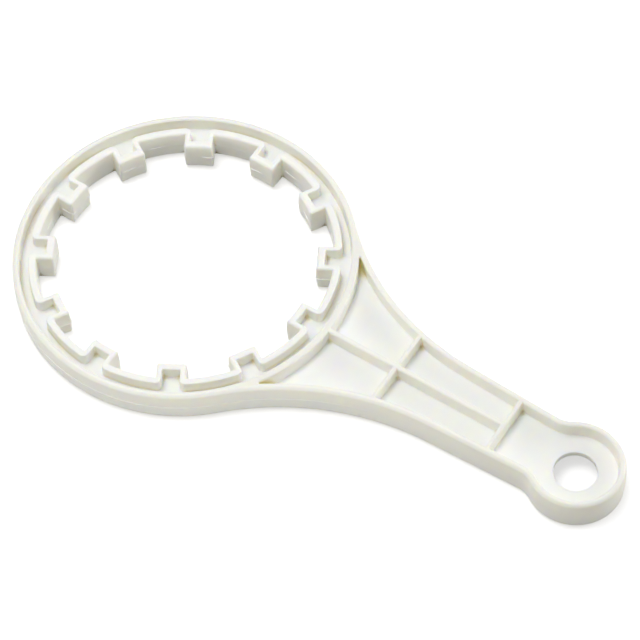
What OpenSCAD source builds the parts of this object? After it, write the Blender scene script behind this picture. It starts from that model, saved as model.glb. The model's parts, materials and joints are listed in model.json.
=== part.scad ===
// Filter housing wrench: a flat ring spanner moulded in one piece.
// The ring axis is Z, the handle runs along +X, and the lower face lies on Z = 0.

/* [Socket] */
// Diameter of the circle that the tooth tips lie on
socket_d = 100.4; // [80:0.2:125]
// Number of teeth
tooth_n = 12; // [8:1:16]
// Height of a tooth, from the bore to its tip
tooth_h = 6.4; // [4:0.1:9]
// Width of a tooth
tooth_w = 11; // [8:0.1:14]
// Rounding of the tooth tips' corners
tip_round = 0.8; // [0.2:0.05:1.2]
// Fillet between a tooth and the bore
root_round = 0.4; // [0.3:0.05:2]

/* [Ring] */
// Thickness of the toothed wall between the teeth
wall_t = 2.6; // [1.4:0.1:3.5]
// Thickness of the toothed wall along the flanks of a tooth
flank_t = 2.1; // [1.4:0.1:2.8]
// Thickness of the toothed wall at the tip of a tooth
tip_t = 2.9; // [1.4:0.1:3.5]
// Width of the channel between the toothed wall and the outer rim
channel_w = 3.9; // [2.5:0.1:9]
// Thickness of the rim that runs round the ring and the handle
rim_t = 2.9; // [1.5:0.1:4]
// Rounding of the toothed wall where the channel turns into a tooth
mouth_round = 2.2; // [0.5:0.1:2.5]

/* [Section] */
// Thickness of the wrench
thickness = 14; // [9:0.5:22]
// Thickness of the web at mid-height
web_t = 2.3; // [1.2:0.1:5]
// How far the toothed wall stays below each face of the wrench
recess = 0.7; // [0.2:0.1:1.5]

/* [Handle] */
// Distance from the ring's rim to the hanging hole
handle_l = 106; // [90:0.5:180]
// Width that the tapering sides have at the hanging hole
handle_w = 26.4; // [22:0.1:31]
// Taper of each side
taper = 2.2; // [0.5:0.1:4]
// Radius of the sides where they run into the ring
side_r = 107; // [60:1:160]

/* [Ribs] */
// Thickness of the rib along the middle of the handle, at its top
spine_t = 2.1; // [1:0.1:3]
// Thickness of a cross rib, at its top
cross_t = 1.8; // [1:0.1:3]
// Draft of each rib face, in degrees
rib_draft = 2; // [0.5:0.5:5]
// Distance from the ring's rim to the first cross rib
near_rib = 29.4; // [20:0.2:45]
// Distance from the ring's rim to the second cross rib
far_rib = 75.6; // [55:0.2:82]

/* [Hanging end] */
// Diameter of the rounded end
lobe_d = 37; // [33:0.5:50]
// Radius of the fillet between the handle and the rounded end
neck_r = 9.3; // [4:0.1:14]
// Diameter of the hanging hole
hole_d = 16; // [6:0.2:24]

/* [Hidden] */

$fn = 128;
// How far a cut runs past the face that it opens
over = 1;
// How far a blend's circle reaches past tangency, so that outlines cross and never just touch
bite = 0.005;

tip_r = socket_d/2;
root_r = tip_r + tooth_h;
wall_r = root_r + wall_t;
channel_r = wall_r + channel_w;
ring_r = channel_r + rim_t;
pocket_w = tooth_w - 2*flank_t;
pocket_depth = (thickness - web_t)/2;

lobe_c = [ring_r + handle_l, 0];
lobe_r = lobe_d/2;

// A side of the handle: its outward normal, its direction and its distance from the ring's axis
side_n = [sin(taper), cos(taper)];
side_u = [cos(taper), -sin(taper)];
side_d = side_n*(lobe_c + [0, handle_w/2]);

// Centre of the arc that is tangent to the ring and to the side
side_c = side_n*(side_d + side_r) + side_u*sqrt((ring_r + side_r)^2 - (side_d + side_r)^2);

// Centre of the neck fillet, tangent to the side and to the rounded end
neck_h = side_d + neck_r - side_n*lobe_c;
neck_c = lobe_c + side_n*neck_h - side_u*sqrt((lobe_r + neck_r)^2 - neck_h^2);

function flip(p) = [p[0], -p[1]];
function reversed(list) = [for (i = [len(list) - 1:-1:0]) list[i]];

// Outline of the wrench seen from above, moved inwards by inset
module plan(inset) {
    circle(ring_r - inset);
    translate(lobe_c) circle(lobe_r - inset);
    half = [side_c, side_c - side_n*(side_r + inset), neck_c - side_n*(neck_r + inset), neck_c];
    difference() {
        polygon(concat([[0, 0]], half, [lobe_c], reversed([for (p = half) flip(p)])));
        for (side = [0, 1]) mirror([0, side]) {
            translate(side_c) circle(side_r + inset + bite);
            translate(neck_c) circle(neck_r + inset + bite);
        }
    }
}

// Corner piece outside a circle of radius r at c, between the directions u and v
module corner(c, r, u, v) {
    reach = 1.3*r;
    difference() {
        polygon([c, c + u*reach, c + (u + v)*reach, c + v*reach]);
        translate(c) circle(r + bite);
    }
}

// The corner piece on both flanks of a tooth, for a blend at distance d from the ring's axis
// and y from the tooth's middle, reaching outwards or inwards (way) and towards the flank (turn)
module flank_corners(d, y, r, way, turn) {
    c = [sqrt(d^2 - y^2), y];
    for (side = [0, 1]) mirror([0, side]) corner(c, r, way*c/d, [0, turn]);
}

// One tooth on +X, rounded at its tip and filleted into the bore
module tooth() {
    difference() {
        translate([0, -tooth_w/2]) square([root_r + wall_t/2, tooth_w]);
        circle(tip_r);
        flank_corners(tip_r + tip_round, tooth_w/2 - tip_round, tip_round, -1, 1);
    }
    flank_corners(root_r - root_round, tooth_w/2 + root_round, root_round, 1, -1);
}

module around_ring() {
    for (i = [0:tooth_n - 1]) rotate(i*360/tooth_n) children();
}

// The toothed opening that grips the filter housing
module socket() {
    difference() {
        circle(root_r);
        around_ring() tooth();
    }
}

// The channel of the ring, which runs into every tooth
module channel() {
    difference() {
        circle(channel_r);
        circle(wall_r);
    }
    around_ring() {
        difference() {
            translate([0, -pocket_w/2]) square([wall_r + channel_w/2, pocket_w]);
            circle(tip_r + tip_t);
        }
        flank_corners(wall_r - mouth_round, pocket_w/2 + mouth_round, mouth_round, 1, -1);
    }
}

// The hollow of the handle, beyond the ring
module handle_hollow() {
    difference() {
        plan(rim_t);
        circle(ring_r);
    }
}

// Places the children on the upper and the lower side of the web
module both_faces() {
    for (face = [0, 1])
        translate([0, 0, thickness/2]) mirror([0, 0, face]) translate([0, 0, web_t/2]) children();
}

// Section of a rib that is t thick at its top, drafted, standing on the web
module rib_section(t) {
    top = t/2;
    foot = top + pocket_depth*tan(rib_draft);
    polygon([[-foot, 0], [foot, 0], [top, pocket_depth], [-top, pocket_depth]]);
}

// The space above the toothed wall, which stays below the face
module wall_recess() {
    translate([0, 0, pocket_depth - recess]) cylinder(h = recess + over, r = wall_r + channel_w/2);
}

// Half the width of the hollow at distance x from the ring's axis
function hollow_half(x) =
    let (on_arc = x < side_c[0] - side_n[0]*side_r)
    on_arc ? side_c[1] - sqrt((side_r + rim_t)^2 - (x - side_c[0])^2)
           : (side_d - rim_t - side_n[0]*x)/side_n[1];

module cross_rib(x) {
    half = hollow_half(x) + rim_t/2;
    translate([x, half, 0]) rotate([90, 0, 0]) linear_extrude(2*half) rib_section(cross_t);
}

module ribs() {
    start = ring_r - rim_t/2;
    end = ring_r + far_rib;
    translate([start, 0, 0]) rotate([90, 0, 90]) linear_extrude(end - start) rib_section(spine_t);
    cross_rib(ring_r + near_rib);
    cross_rib(ring_r + far_rib);
}

module wrench_body() {
    color("ivory") {
        difference() {
            linear_extrude(thickness) plan(0);
            translate([0, 0, -over]) linear_extrude(thickness + 2*over) socket();
            both_faces() linear_extrude(pocket_depth + over) {
                channel();
                handle_hollow();
            }
            both_faces() wall_recess();
            translate([lobe_c[0], 0, -over]) cylinder(h = thickness + 2*over, d = hole_d);
        }
        both_faces() ribs();
    }
}

wrench_body();
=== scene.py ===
"""Looks of the moulded filter housing wrench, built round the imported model."""
import json
import math

import bpy
import numpy as np
from mathutils import Matrix, Vector
from mathutils.geometry import delaunay_2d_cdt


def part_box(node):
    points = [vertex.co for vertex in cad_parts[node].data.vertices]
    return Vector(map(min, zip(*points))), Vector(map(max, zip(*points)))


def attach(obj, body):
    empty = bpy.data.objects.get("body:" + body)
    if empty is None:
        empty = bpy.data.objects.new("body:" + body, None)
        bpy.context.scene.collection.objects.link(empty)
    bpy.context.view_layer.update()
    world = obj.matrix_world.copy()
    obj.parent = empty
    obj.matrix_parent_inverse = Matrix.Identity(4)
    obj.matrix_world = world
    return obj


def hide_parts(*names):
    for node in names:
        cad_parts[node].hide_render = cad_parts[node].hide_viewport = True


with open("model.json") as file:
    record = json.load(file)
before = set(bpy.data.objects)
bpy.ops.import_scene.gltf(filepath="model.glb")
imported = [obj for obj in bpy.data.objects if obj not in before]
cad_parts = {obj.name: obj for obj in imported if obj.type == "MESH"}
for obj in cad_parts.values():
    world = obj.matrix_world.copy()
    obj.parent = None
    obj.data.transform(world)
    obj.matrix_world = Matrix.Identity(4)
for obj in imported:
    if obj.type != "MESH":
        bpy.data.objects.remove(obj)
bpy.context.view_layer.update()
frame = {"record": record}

# Sizes of the wrench are in millimetres, in the part's own frame, and its mesh is scaled to metres
MM = 0.001
BODY = "wrench_body"
SLOT = "ivory_plastic"

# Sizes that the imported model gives
low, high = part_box(BODY)
mounts = {mount["name"]: mount for mount in frame["record"]["mounts"]}
THICK = (high.z - low.z) / MM
TIP_R = mounts["filter_socket"]["dims"]["r_mm"]
HOLE_R = mounts["hanging_hole"]["dims"]["r_mm"]
WEB = mounts["hanging_hole"]["dims"]["length_mm"]
LOBE_C = np.array(mounts["hanging_hole"]["pos_m"][:2]) / MM
LOBE_R = high.x / MM - LOBE_C[0]

# Ring and teeth
TEETH = 12
TOOTH_H = 6.4
TOOTH_W = 11.0
WALL = 2.95
FLANK = 2.1
TIP_WALL = 2.9
CHANNEL = 3.55
RIM = 2.9
RECESS = 0.7
ROOT_R = TIP_R + TOOTH_H
WALL_R = ROOT_R + WALL
CHANNEL_R = WALL_R + CHANNEL
RING_R = CHANNEL_R + RIM
POCKET_W = TOOTH_W - 2 * FLANK

# Handle
HANDLE_W = 26.4
TAPER = math.radians(2.2)
SIDE_R = 107.0
NECK_R = 9.3
SPINE = 2.1
CROSS = 1.8
NEAR_RIB = RING_R + 29.4
FAR_RIB = RING_R + 75.6

# Levels
MIDDLE = THICK / 2
FLOOR = MIDDLE + WEB / 2
TOOTH_TOP = THICK - RECESS

# Roundings, draft and parting line
OUTER_EDGE = 1.6
POCKET_EDGE = 0.85
WALL_EDGE = 0.5
TOOTH_EDGE = 1.1
HOLE_EDGE = 0.3
FOOT = 0.4
TIP_ROUND = 0.8
ROOT_ROUND = 0.4
MOUTH_ROUND = 2.2
POCKET_ROUND = 0.5
CUSP_ROUND = 0.3
SHARPEST = 0.1
DRAFT = math.tan(math.radians(1.2))
BORE_DRAFT = math.tan(math.radians(2))
SEAM_H = 0.2
SEAM_W = 0.36
SEAM_SLANT = SEAM_W / 3
SEAM_EDGE = 0.02

# Between these two places along the handle the outer parting line sinks to a share of its height
SEAM_FADE = (60.0, 110.0)
SEAM_SHARE = (1, 0.15)

# Flash on the bore's parting line: its height, and the waves round the ring (count and phase) that place it
FLASH_H = 0.3
FLASH_WAVES = ((19, 1), (31, 2))

# Fineness of the mesh, and how closely its points are worked out
SPACING = 1.5
TURN = math.radians(12)
EDGE_STEPS = 6
MEET_STEPS = 40
MEET_CLOSE = 1e-10
FILL_CLOSE = 1e-6

# The plastic's patterns, and the relief that two of them give
CLOUD = {"Scale": 45.0, "Detail": 4.0, "Roughness": 0.6}
GRAIN = {"Scale": 2600.0, "Detail": 3.0, "Roughness": 0.55}
WAVE = {"Scale": 110.0, "Detail": 2.0, "Roughness": 0.5}
GRAIN_RELIEF = {"Strength": 0.1, "Distance": 0.12 * MM}
WAVE_RELIEF = {"Strength": 0.12, "Distance": 0.4 * MM}

# The plastic's colours, by the level of the clouding
CLOUD_COLOURS = {0.3: (0.922, 0.919, 0.876, 1), 0.7: (0.932, 0.929, 0.886, 1)}

# Painted shade: olive tints of its corners, by how open they are to walls within reach. Corners low on the
# wrench have their own, stronger painted shade
PAINTED_SHADE_REACH = 4 * MM
PAINTED_SHADE_COLOURS = {0.12: (1, 0.97, 0.6, 1), 0.32: (0.8, 0.72, 0.4, 1), 0.5: (1, 1, 1, 1)}
LOW_PAINTED_SHADE_COLOURS = {0.43: (0.3, 0.25, 0.04, 1), 0.64: (1, 1, 1, 1)}
LOW_PAINTED_SHADE_HEIGHTS = (1.5 * MM, 4.5 * MM)

# Distances from mid-height between which the rims' top faces are darkened by painted shade, and the thin
# parting line gives way to plastic that scatters light
TOP_SHADE_SPAN = (6.3 * MM, 6.9 * MM)
TOP_SHADE_LEVEL = 0.92
CLEAR_SEAM = (0.2 * MM, 0.6 * MM)

# The plastic's gloss and scatter
GLOSS_ROUGHNESS = (0.38, 0.5)
REFRACTION = 1.49
SCATTER_DEPTH = 2.2 * MM
SCATTER_COLOUR = (1.0, 0.85, 0.45)

# Stage, in metres: the paper's colour, the shade of its shadows, and how white it shines near the wrench.
# It shines fully white beyond the fade
FLOOR_SIZE = 6.0
FLOOR_DROP = 0.0001
FLOOR_ALBEDO = (0.64, 0.63, 0.56, 1)
FLOOR_SHADE = 0.64
FLOOR_WHITE = 0.59
FLOOR_FADE = (0.35, 1.0)
WORLD_LEVEL = 0.27

# Softboxes that face the wrench: azimuth and elevation, width and height, spread and watts.
# The front one has a grid, and its light falls off from the ring to the hanging end
SOFTBOXES = {"key": (190, 79, 0.6, 0.6, 180, 8.3),
             "right": (48, 20, 0.5, 0.5, 180, 5.0),
             "left": (210, 20, 0.5, 0.5, 180, 1.85),
             "front": (305, 1.9, 0.12, 0.05, 16, 0.024)}
SOFTBOX_DISTANCE = 1.2
SOFTBOX_AIM = Vector((0.02, 0, 0))

# Camera: where the photo was taken from, in degrees and millimetres
VIEW_AZIMUTH = -53.4162
VIEW_ELEVATION = 55.997
VIEW_ROLL = -3.1404
VIEW_DISTANCE = 1018.65
VIEW_TARGET = (54.963, 9.071, 0.0)
SENSOR = 36.0
IMAGE_PX = 640
FOCAL_PX = 2699.29


def unit(v):
    return np.asarray(v, float) / np.linalg.norm(v)


def flip(p):
    """The point or direction on the other side of the handle's axis."""
    return np.array([p[0], -p[1]])


class Line:
    """A straight wall. Its value is negative in the open space and grows into the material."""

    def __init__(self, normal, level):
        self.normal, self.level = unit(normal), level

    def value(self, p):
        return self.normal @ p - self.level

    def into(self, p):
        return self.normal

    def flipped(self):
        return Line(flip(self.normal), self.level)

    def length(self, a, b):
        return np.linalg.norm(b - a), 0.0

    def sample(self, a, b, n):
        t = np.arange(n)[:, None] / n
        return a + t * (b - a), np.repeat(self.normal[None], n, 0)


class Arc:
    """A round wall, with the open space inside it (sense 1) or outside it (sense -1)."""

    def __init__(self, centre, radius, sense):
        self.centre, self.radius, self.sense = np.asarray(centre, float), radius, sense

    def value(self, p):
        return self.sense * (np.linalg.norm(p - self.centre) - self.radius)

    def into(self, p):
        return self.sense * unit(p - self.centre)

    def flipped(self):
        return Arc(flip(self.centre), self.radius, self.sense)

    def angles(self, a, b):
        start = math.atan2(*(a - self.centre)[::-1])
        turn = (math.atan2(*(b - self.centre)[::-1]) - start) * self.sense % math.tau
        return start, self.sense * (turn or math.tau)

    def length(self, a, b):
        turn = abs(self.angles(a, b)[1])
        return turn * self.radius, turn

    def sample(self, a, b, n):
        start, turn = self.angles(a, b)
        theta = start + turn * np.arange(n) / n
        ray = np.stack([np.cos(theta), np.sin(theta)], 1)
        return self.centre + ray * np.linalg.norm(a - self.centre), self.sense * ray


def meet(a, b, level, guess):
    """The point near guess where both curves have the value level."""
    p = np.array(guess, float)
    for _ in range(MEET_STEPS):
        step = np.linalg.solve([a.into(p), b.into(p)], [level - a.value(p), level - b.value(p)])
        p += step
        if abs(step).max() < MEET_CLOSE:
            break
    return p


class Loop:
    """A closed outline of curves with the open space on its left.

    A joint between a curve and the next is (point, radius): radius 0 where they are tangent, above 0
    for a fillet in the open space, below 0 for a rounded corner of the material."""

    def __init__(self, curves, joints):
        self.curves, self.joints = curves, joints
        self.counts = [self.count(*run) for run in self.runs(0.0)]

    def flipped(self):
        """The outline on the other side of the handle's axis."""
        curves = [curve.flipped() for curve in reversed(self.curves)]
        joints = [(flip(point), radius) for point, radius in self.joints[-2::-1] + self.joints[-1:]]
        return Loop(curves, joints)

    @staticmethod
    def count(curve, a, b):
        """How many steps a curve is cut into."""
        length, turn = curve.length(a, b)
        return max(1, math.ceil(length / SPACING), math.ceil(turn / TURN))

    def corner(self, index, offset):
        """Where one curve ends, the blend if there is one, and where the next curve starts."""
        a, b = self.curves[index], self.curves[(index + 1) % len(self.curves)]
        point, radius = self.joints[index]
        if radius == 0:
            moved = point + a.into(point) * offset
            return moved, None, moved
        sense = 1 if radius > 0 else -1
        r = max(abs(radius) + sense * offset, SHARPEST)
        centre = meet(a, b, offset - sense * r, point)
        ends = [centre - (curve.value(centre) - offset) * curve.into(centre) for curve in (a, b)]
        return ends[0], Arc(centre, r, sense), ends[1]

    def runs(self, offset):
        """The curves and blends in order, each with its two ends, moved into the material by offset."""
        corners = [self.corner(i, offset) for i in range(len(self.curves))]
        found = []
        for i, curve in enumerate(self.curves):
            end, blend, start = corners[i]
            found.append((curve, corners[i - 1][2], end))
            if blend:
                found.append((blend, end, start))
        return found

    def at(self, offset):
        """Points of the outline moved into the material by offset, and the way into the material there."""
        parts = [curve.sample(a, b, n) for (curve, a, b), n in zip(self.runs(offset), self.counts)]
        return np.vstack([p for p, _ in parts]), np.vstack([n for _, n in parts])


def round_hole(centre, radius):
    start = np.asarray(centre, float) + [radius, 0]
    return Loop([Arc(centre, radius, 1)], [(start, 0)])


# The handle's side: its outward normal, its direction, its distance from the ring's axis, its blends
side_n = np.array([math.sin(TAPER), math.cos(TAPER)])
side_u = np.array([math.cos(TAPER), -math.sin(TAPER)])
side_d = side_n @ (LOBE_C + [0, HANDLE_W / 2])
side_along = math.sqrt((RING_R + SIDE_R) ** 2 - (side_d + SIDE_R) ** 2)
side_c = side_n * (side_d + SIDE_R) + side_u * side_along
neck_h = side_d + NECK_R - side_n @ LOBE_C
neck_c = LOBE_C + side_n * neck_h - side_u * math.sqrt((LOBE_R + NECK_R) ** 2 - neck_h ** 2)


def outer_loop():
    """The outline of the whole wrench."""
    upper = [Arc(side_c, SIDE_R, 1), Line(-side_n, -side_d), Arc(neck_c, NECK_R, 1)]
    lower = [curve.flipped() for curve in reversed(upper)]
    points = [RING_R * unit(side_c), side_c - side_n * SIDE_R, neck_c - side_n * NECK_R,
              LOBE_C + LOBE_R * unit(neck_c - LOBE_C)]
    joints = [(p, 0) for p in points + [flip(p) for p in reversed(points)]]
    return Loop([Arc((0, 0), RING_R, -1), *upper, Arc(LOBE_C, LOBE_R, -1), *lower], joints)


def tooth_frame(k):
    """Directions out of the ring and across for tooth k."""
    theta = k * math.tau / TEETH
    out = np.array([math.cos(theta), math.sin(theta)])
    return out, np.array([-out[1], out[0]])


def on_flank(k, radius, across):
    """The point of tooth k at a radius of the ring and a distance from the tooth's middle."""
    out, side = tooth_frame(k)
    return out * math.sqrt(radius ** 2 - across ** 2) + side * across


def bore_loop():
    """The toothed opening."""
    half = TOOTH_W / 2
    curves, joints = [], []
    for k in range(TEETH):
        side = tooth_frame(k)[1]
        curves += [Line(side, -half), Arc((0, 0), TIP_R, 1), Line(-side, -half), Arc((0, 0), ROOT_R, 1)]
        joints += [(on_flank(k, TIP_R, -half), -TIP_ROUND),
                   (on_flank(k, TIP_R, half), -TIP_ROUND),
                   (on_flank(k, ROOT_R, half), ROOT_ROUND),
                   (on_flank(k + 1, ROOT_R, -half), ROOT_ROUND)]
    return Loop(curves, joints)


def toothed_wall_loop():
    """The channel's side of the toothed wall, which runs into every tooth."""
    half = POCKET_W / 2
    end_r = TIP_R + TIP_WALL
    curves, joints = [], []
    for k in range(TEETH, 0, -1):
        side = tooth_frame(k)[1]
        curves += [Line(side, half), Arc((0, 0), end_r, -1), Line(-side, half), Arc((0, 0), WALL_R, -1)]
        joints += [(on_flank(k, end_r, half), POCKET_ROUND),
                   (on_flank(k, end_r, -half), POCKET_ROUND),
                   (on_flank(k, WALL_R, -half), -MOUTH_ROUND),
                   (on_flank(k - 1, WALL_R, half), -MOUTH_ROUND)]
    return Loop(curves, joints)


def handle_pockets():
    """The hollows between the handle's rims and ribs: the four beside the spine, and the end one."""
    spine = Line((0, -1), -SPINE / 2)
    ring = Arc((0, 0), RING_R, -1)
    side_arc = Arc(side_c, SIDE_R + RIM, -1)
    side_line = Line(side_n, side_d - RIM)
    side_end = side_c - side_n * (SIDE_R + RIM)
    near_in, near_out = Line((1, 0), NEAR_RIB - CROSS / 2), Line((-1, 0), -NEAR_RIB - CROSS / 2)
    far_in, far_out = Line((1, 0), FAR_RIB - CROSS / 2), Line((-1, 0), -FAR_RIB - CROSS / 2)

    # The cusp where the ring and the inside of the rim cross, by the cosine rule
    apart = RING_R + SIDE_R
    along_ring = math.acos((RING_R ** 2 + apart ** 2 - (SIDE_R + RIM) ** 2) / (2 * RING_R * apart))
    turn = math.atan2(side_c[1], side_c[0]) - along_ring
    cusp = RING_R * np.array([math.cos(turn), math.sin(turn)])

    near = Loop([spine, near_in, side_arc, ring], [
        (np.array([NEAR_RIB, SPINE]), POCKET_ROUND),
        (meet(near_in, side_arc, 0, (NEAR_RIB, HANDLE_W / 2)), POCKET_ROUND),
        (cusp, CUSP_ROUND),
        (np.array([RING_R, SPINE]), POCKET_ROUND)])
    far = Loop([spine, far_in, side_line, side_arc, near_out], [
        (np.array([FAR_RIB, SPINE]), POCKET_ROUND),
        (meet(far_in, side_line, 0, (FAR_RIB, HANDLE_W / 2)), POCKET_ROUND),
        (side_end, 0),
        (meet(near_out, side_arc, 0, (NEAR_RIB, HANDLE_W / 2)), POCKET_ROUND),
        (np.array([NEAR_RIB, SPINE]), POCKET_ROUND)])

    neck = Arc(neck_c, NECK_R + RIM, -1)
    line_end = neck_c - side_n * (NECK_R + RIM)
    neck_end = LOBE_C + (LOBE_R - RIM) * unit(neck_c - LOBE_C)
    rib_end = meet(far_out, side_line, 0, (FAR_RIB, HANDLE_W / 2))
    lobe = Arc(LOBE_C, LOBE_R - RIM, 1)
    end = Loop([far_out, side_line.flipped(), neck.flipped(), lobe, neck, side_line], [
        (flip(rib_end), POCKET_ROUND), (flip(line_end), 0), (flip(neck_end), 0),
        (neck_end, 0), (line_end, 0), (rib_end, POCKET_ROUND)])
    return [near, near.flipped(), far, far.flipped()], end


def rounded_edge(offset, level, radius):
    """Profile from a flat face round to a wall: pairs of offset into the material and height."""
    t = np.linspace(0, math.pi / 2, EDGE_STEPS + 1)
    return [(offset + radius * (1 - math.sin(a)), level - radius * (1 - math.cos(a))) for a in t]


def foot_fillet(offset, level, radius):
    """Profile from a wall round to the floor."""
    t = np.linspace(0, math.pi / 2, EDGE_STEPS)
    return [(offset - radius * (1 - math.cos(a)), level + radius * (1 - math.sin(a))) for a in t]


def pocket_profile(top, edge):
    """Profile of a drafted wall from a face at the height top down to a pocket's floor."""
    lean = (top - FLOOR) * DRAFT
    return rounded_edge(0, top, edge) + foot_fillet(-lean, FLOOR, FOOT)


def through_profile(top, edge, draft, start):
    """Profile of a wall between the two faces, with the parting line of the mould at mid-height.

    start is the offset of the wall at its top."""
    foot = np.array([start - (top - MIDDLE) * draft, MIDDLE + SEAM_W / 2])
    crest = foot - [SEAM_H, SEAM_SLANT]
    along, down = SEAM_EDGE * unit(crest - foot), np.array([0, -SEAM_EDGE])
    half = rounded_edge(start, top, edge)
    half += [tuple(p) for p in (foot - down, foot + along, crest - along, crest + down)]
    return half + mirrored(half)


def hole_profile():
    """Profile of the hanging hole's wall, through the web."""
    half = rounded_edge(0, FLOOR, HOLE_EDGE)
    return half + mirrored(half)


def mirrored(profile):
    """The lower half that goes with an upper half of a profile."""
    return [(offset, THICK - z) for offset, z in reversed(profile)]


def broken_flash(points):
    """Share of the bore's parting line that stands out at each point: none, or thin flash in stretches."""
    theta = np.arctan2(points[:, 1], points[:, 0])
    patches = sum(np.sin(count * theta + phase) for count, phase in FLASH_WAVES)
    return FLASH_H / SEAM_H * np.clip(patches, 0, 1)


def fading_seam(points):
    """Share of the outer parting line that stands out at each point: less along the handle."""
    return np.interp(points[:, 0], SEAM_FADE, SEAM_SHARE)


class Skin:
    """Vertices with their normals, and faces."""

    def __init__(self):
        self.points, self.normals, self.faces = [], [], []
        self.total = 0

    def add(self, points, normals):
        """Adds vertices and gives their indices."""
        self.points.append(points)
        self.normals.append(normals)
        self.total += len(points)
        return np.arange(self.total - len(points), self.total)

    def ring(self, loop, offset, z, slope, base=0, share=None):
        """One run round the loop; slope is the surface normal's part along the offset and along Z.

        share gives the part of the ring's step off the offset base that is made at each point."""
        flat, into = loop.at(base if share else offset)
        made = np.ones((len(flat), 1))
        if share:
            made = share(flat)[:, None]
            flat = flat + into * (offset - base) * made
        heights = np.full((len(flat), 1), z)
        return self.add(np.hstack([flat, heights]), np.hstack([into * slope[0], slope[1] * made]))

    def wall(self, loop, profile, first=None, last=None, seam=None):
        """Rings down the profile, joined by quads. The first or last ring may be there already.

        seam gives the part of the parting line's height that is made at each point."""
        p = np.array(profile)
        base = p[abs(p[:, 1] - MIDDLE) > SEAM_W / 2, 0].min()
        ends = {0: first, len(profile) - 1: last}
        rings = []
        for i, (offset, z) in enumerate(profile):
            if ends.get(i) is not None:
                rings.append(ends[i])
                continue
            if i in ends:
                slope = (0, 1 if z > MIDDLE else -1)
            else:
                along = p[i + 1] - p[i - 1]
                slope = unit([along[1], -along[0]])
            share = seam if abs(z - MIDDLE) < SEAM_W / 2 else None
            rings.append(self.ring(loop, offset, z, slope, base, share))
        for upper, lower in zip(rings, rings[1:]):
            quads = np.stack([upper, np.roll(upper, -1), np.roll(lower, -1), lower], 1)
            self.faces += quads.tolist()
        return rings[0], rings[-1]

    def fill(self, *rings):
        """Flat face between an outer ring and the rings inside it, facing up."""
        index = np.concatenate(rings)
        flat = np.vstack(self.points)[index, :2]
        starts = np.cumsum([0] + [len(ring) for ring in rings])
        after = np.concatenate([np.roll(np.arange(a, b), -1) for a, b in zip(starts, starts[1:])])
        edges = list(enumerate(after.tolist()))
        inside_edges = 1
        filled = delaunay_2d_cdt([Vector(p) for p in flat], edges, [], inside_edges, FILL_CLOSE)
        _, _, faces, source, _, _ = filled
        corners = np.array([[source[v][0] for v in face] for face in faces])

        # A triangle stays where a ray from its middle crosses the rings an odd number of times
        x, y = flat[corners].mean(axis=1).T[:, :, None]
        (ax, ay), (bx, by) = flat.T, flat[after].T
        crossed = ((ay > y) != (by > y)) & (((bx - ax) * (y - ay) > (x - ax) * (by - ay)) == (by > ay))
        in_face = crossed.sum(axis=1) % 2 == 1
        self.faces += index[corners[in_face]].tolist()

    def mirror(self):
        """Copies everything to the other side of mid-height, and gives the step between the indices."""
        step = self.total
        points, normals = np.vstack(self.points), np.vstack(self.normals)
        copied = [[v + step for v in reversed(face)] for face in self.faces]
        self.add(points * [1, 1, -1] + [0, 0, THICK], normals * [1, 1, -1])
        self.faces += copied
        return step


def wrench_mesh():
    """The moulding with its rounded edges, drafted walls, filleted floors and parting line."""
    skin = Skin()
    outer, bore, hole = outer_loop(), bore_loop(), round_hole(LOBE_C, HOLE_R)
    pockets, end_pocket = handle_pockets()
    outer_side = through_profile(THICK, OUTER_EDGE, DRAFT, SEAM_H + MIDDLE * DRAFT)
    bore_side = through_profile(TOOTH_TOP, TOOTH_EDGE, BORE_DRAFT, 0)
    hole_side = hole_profile()
    pocket_side = pocket_profile(THICK, POCKET_EDGE)

    # The upper side: the rings that the through walls start from, the pockets, and the flat faces between
    up = (0, 1)
    outer_top = skin.ring(outer, *outer_side[0], up)
    bore_top = skin.ring(bore, *bore_side[0], up)
    hole_top = skin.ring(hole, *hole_side[0], up)
    channel_top, channel_foot = skin.wall(round_hole((0, 0), CHANNEL_R), pocket_side)
    wall_top, wall_foot = skin.wall(toothed_wall_loop(), pocket_profile(TOOTH_TOP, WALL_EDGE))
    skin.fill(channel_foot, wall_foot)
    skin.fill(wall_top, bore_top)
    rim_holes = [channel_top]
    for pocket in pockets:
        top, foot = skin.wall(pocket, pocket_side)
        skin.fill(foot)
        rim_holes.append(top)
    top, foot = skin.wall(end_pocket, pocket_side)
    skin.fill(foot, hole_top)
    skin.fill(outer_top, *rim_holes, top)

    # The lower side, and the walls that join the two
    step = skin.mirror()
    skin.wall(outer, outer_side, outer_top, outer_top + step, fading_seam)
    skin.wall(bore, bore_side, bore_top, bore_top + step, broken_flash)
    skin.wall(hole, hole_side, hole_top, hole_top + step)

    mesh = bpy.data.meshes.new("moulded_wrench")
    mesh.from_pydata((np.vstack(skin.points) * MM).tolist(), [], skin.faces)
    mesh.shade_smooth()
    mesh.normals_split_custom_set_from_vertices(np.vstack(skin.normals).tolist())
    return mesh


def empty_tree(owner):
    """The cleared node tree of a material or world."""
    owner.use_nodes = True
    owner.node_tree.nodes.clear()
    return owner.node_tree


def feed(tree, socket, value):
    """Sets a socket to a value, or links it where the value is another socket."""
    if isinstance(value, bpy.types.NodeSocket):
        tree.links.new(value, socket)
    else:
        socket.default_value = value


def node(tree, kind, **inputs):
    """A shader node with its named sockets fed."""
    made = tree.nodes.new(kind)
    for name, value in inputs.items():
        feed(tree, made.inputs[name.replace("_", " ")], value)
    return made


def calculated(tree, operation, *values):
    """What a math node makes of the values."""
    made = tree.nodes.new("ShaderNodeMath")
    made.operation = operation
    for socket, value in zip(made.inputs, values):
        feed(tree, socket, value)
    return made.outputs[0]


def ranged(tree, value, source, target):
    """The value moved from its source range to a target range, and kept inside that."""
    return node(tree, "ShaderNodeMapRange", Value=value, From_Min=source[0], From_Max=source[1],
                To_Min=target[0], To_Max=target[1]).outputs["Result"]


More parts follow.
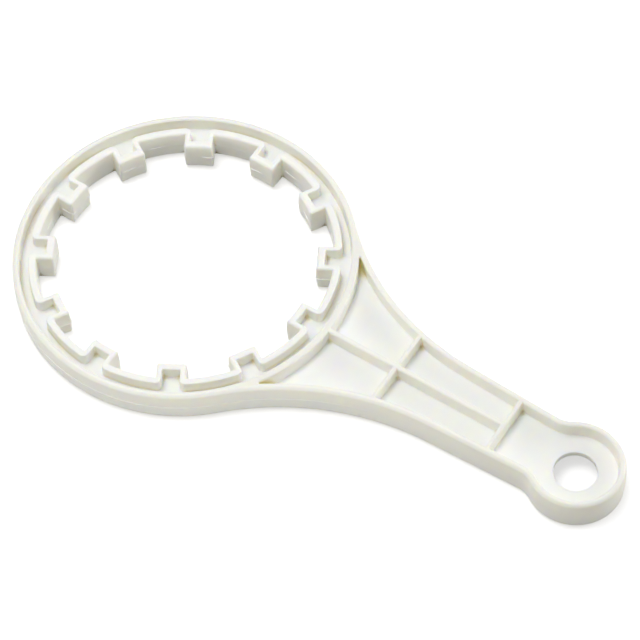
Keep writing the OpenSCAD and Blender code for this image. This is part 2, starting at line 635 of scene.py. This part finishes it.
def ramp(tree, level, colours):
    """The colour at a level, between the colours given by level."""
    made = node(tree, "ShaderNodeValToRGB", Fac=level)
    elements = made.color_ramp.elements
    first, *between, last = colours.items()
    elements[0].position, elements[0].color = first
    elements[1].position, elements[1].color = last
    for position, colour in between:
        elements.new(position).color = colour
    return made.outputs["Color"]


def mixed_colour(tree, blend, factor, first, second):
    """Two colours mixed by the factor, in the blend named."""
    made = tree.nodes.new("ShaderNodeMix")
    made.data_type = "RGBA"
    made.blend_type = blend
    for name, value in (("Factor", factor), ("A", first), ("B", second)):
        feed(tree, made.inputs[name], value)
    return made.outputs["Result"]


def ivory_plastic():
    """Satin ivory plastic, faintly clouded, with grain and slight waviness; painted olive shade in its
    corners and painted shade on the rims' top faces.
    """
    material = bpy.data.materials.new(SLOT)
    tree = empty_tree(material)
    place = tree.nodes.new("ShaderNodeTexCoord").outputs["Object"]
    height = node(tree, "ShaderNodeSeparateXYZ", Vector=place).outputs["Z"]
    from_middle = calculated(tree, "ABSOLUTE", calculated(tree, "SUBTRACT", height, MIDDLE * MM))
    cloud = node(tree, "ShaderNodeTexNoise", Vector=place, **CLOUD).outputs["Fac"]

    # Painted shade: the plastic's colour darkened on the rims' top faces, far from mid-height
    top_shaded = tree.nodes.new("ShaderNodeVectorMath")
    top_shaded.operation = "SCALE"
    feed(tree, top_shaded.inputs[0], ramp(tree, cloud, CLOUD_COLOURS))
    feed(tree, top_shaded.inputs["Scale"], ranged(tree, from_middle, TOP_SHADE_SPAN, (1.0, TOP_SHADE_LEVEL)))
    # Painted shade: corners tinted olive and darker where walls close them in, more strongly low on the
    # wrench
    openness = node(tree, "ShaderNodeAmbientOcclusion", Distance=PAINTED_SHADE_REACH).outputs["AO"]
    painted_shade = mixed_colour(tree, "MIX", ranged(tree, height, LOW_PAINTED_SHADE_HEIGHTS, (1.0, 0.0)),
                         ramp(tree, openness, PAINTED_SHADE_COLOURS), ramp(tree, openness, LOW_PAINTED_SHADE_COLOURS))
    colour = mixed_colour(tree, "MULTIPLY", 1.0, top_shaded.outputs[0], painted_shade)

    wave = node(tree, "ShaderNodeTexNoise", Vector=place, **WAVE).outputs["Fac"]
    grain = node(tree, "ShaderNodeTexNoise", Vector=place, **GRAIN).outputs["Fac"]
    wavy = node(tree, "ShaderNodeBump", Height=wave, **WAVE_RELIEF).outputs["Normal"]
    relief = node(tree, "ShaderNodeBump", Height=grain, Normal=wavy, **GRAIN_RELIEF).outputs["Normal"]
    shader = node(tree, "ShaderNodeBsdfPrincipled", Base_Color=colour, IOR=REFRACTION, Normal=relief,
                  Roughness=ranged(tree, cloud, (0.0, 1.0), GLOSS_ROUGHNESS),
                  Subsurface_Weight=ranged(tree, from_middle, CLEAR_SEAM, (0.0, 1.0)),
                  Subsurface_Radius=SCATTER_COLOUR, Subsurface_Scale=SCATTER_DEPTH)
    node(tree, "ShaderNodeOutputMaterial", Surface=shader.outputs["BSDF"])
    return material


def grey(level):
    return (level, level, level, 1)


def shown(tree):
    """1 for what the camera, gloss and glass show, 0 for light that spreads from surface to surface."""
    rays = tree.nodes.new("ShaderNodeLightPath").outputs
    either = rays["Is Camera Ray"]
    for name in ("Is Glossy Ray", "Is Transmission Ray"):
        either = calculated(tree, "MAXIMUM", either, rays[name])
    return either


def lights_and_shows(tree, output, lighting, showing):
    """Finishes a tree that spreads light by one shader and is seen by another."""
    mix = tree.nodes.new("ShaderNodeMixShader")
    for socket, source in zip(mix.inputs, (shown(tree), lighting, showing)):
        feed(tree, socket, source)
    node(tree, output, Surface=mix.outputs[0])


def floor_material():
    """Pale paper, which looks white with a faint shadow, and plain white away from the wrench."""
    material = bpy.data.materials.new("floor_paper")
    tree = empty_tree(material)
    away = tree.nodes.new("ShaderNodeVectorMath")
    away.operation = "LENGTH"
    feed(tree, away.inputs[0], tree.nodes.new("ShaderNodeTexCoord").outputs["Object"])
    whiter = ranged(tree, away.outputs["Value"], FLOOR_FADE, (FLOOR_WHITE, 1.0))
    shaded = node(tree, "ShaderNodeBsdfDiffuse", Color=grey(FLOOR_SHADE))
    white = node(tree, "ShaderNodeEmission", Strength=whiter)
    lit = tree.nodes.new("ShaderNodeAddShader")
    feed(tree, lit.inputs[0], shaded.outputs[0])
    feed(tree, lit.inputs[1], white.outputs[0])
    paper = node(tree, "ShaderNodeBsdfDiffuse", Color=FLOOR_ALBEDO)
    lights_and_shows(tree, "ShaderNodeOutputMaterial", paper.outputs[0], lit.outputs[0])
    return material


def placed(name, data):
    """A new object in the scene."""
    made = bpy.data.objects.new(name, data)
    bpy.context.scene.collection.objects.link(made)
    return made


def add_wrench():
    """The wrench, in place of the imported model's solid."""
    mesh = wrench_mesh()
    mesh.materials.append(ivory_plastic())
    wrench = placed("moulded_wrench", mesh)
    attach(wrench, "root")
    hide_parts(BODY)


def add_floor():
    """A wide sheet of paper just under the wrench."""
    half = FLOOR_SIZE / 2
    corners = [(-half, -half, 0), (half, -half, 0), (half, half, 0), (-half, half, 0)]
    mesh = bpy.data.meshes.new("floor")
    mesh.from_pydata(corners, [], [(0, 1, 2, 3)])
    mesh.materials.append(floor_material())
    floor = placed("floor", mesh)
    floor.location.z = low.z - FLOOR_DROP


def direction(azimuth, elevation):
    """Unit vector at an azimuth from +X and an elevation, in degrees."""
    azimuth, elevation = math.radians(azimuth), math.radians(elevation)
    return Vector((math.cos(elevation) * math.cos(azimuth), math.cos(elevation) * math.sin(azimuth),
                   math.sin(elevation)))


def add_world():
    """Surroundings that look white and light the wrench softly."""
    world = bpy.data.worlds.new("studio")
    bpy.context.scene.world = world
    tree = empty_tree(world)
    light = node(tree, "ShaderNodeBackground", Color=grey(1), Strength=WORLD_LEVEL)
    white = node(tree, "ShaderNodeBackground", Color=grey(1), Strength=1.0)
    lights_and_shows(tree, "ShaderNodeOutputWorld", light.outputs[0], white.outputs[0])


def add_softboxes():
    """Area lamps that face the wrench."""
    for name, (azimuth, elevation, width, height, spread, watts) in SOFTBOXES.items():
        lamp = bpy.data.lights.new(name, "AREA")
        lamp.shape = "RECTANGLE"
        lamp.size, lamp.size_y = width, height
        lamp.spread = math.radians(spread)
        lamp.energy = watts
        softbox = placed(name, lamp)
        away = direction(azimuth, elevation)
        softbox.location = SOFTBOX_AIM + SOFTBOX_DISTANCE * away
        softbox.rotation_euler = away.to_track_quat("Z", "Y").to_euler()


def add_camera():
    """The photo's camera, turned about its line of sight by the roll."""
    back = direction(VIEW_AZIMUTH, VIEW_ELEVATION)
    roll = math.radians(VIEW_ROLL)
    level = Vector((0, 0, 1)).cross(back).normalized()
    raised = back.cross(level)
    right = math.cos(roll) * level + math.sin(roll) * raised
    up = back.cross(right)
    turned = Matrix((right, up, back)).transposed().to_4x4()
    data = bpy.data.cameras.new("camera")
    data.sensor_width = SENSOR
    data.lens = FOCAL_PX * SENSOR / IMAGE_PX
    camera = placed("camera", data)
    camera.matrix_world = Matrix.Translation((Vector(VIEW_TARGET) + VIEW_DISTANCE * back) * MM) @ turned
    bpy.context.scene.camera = camera


bpy.context.scene.view_settings.view_transform = "Standard"
add_wrench()
add_floor()
add_world()
add_softboxes()
add_camera()

bpy.context.view_layer.update()
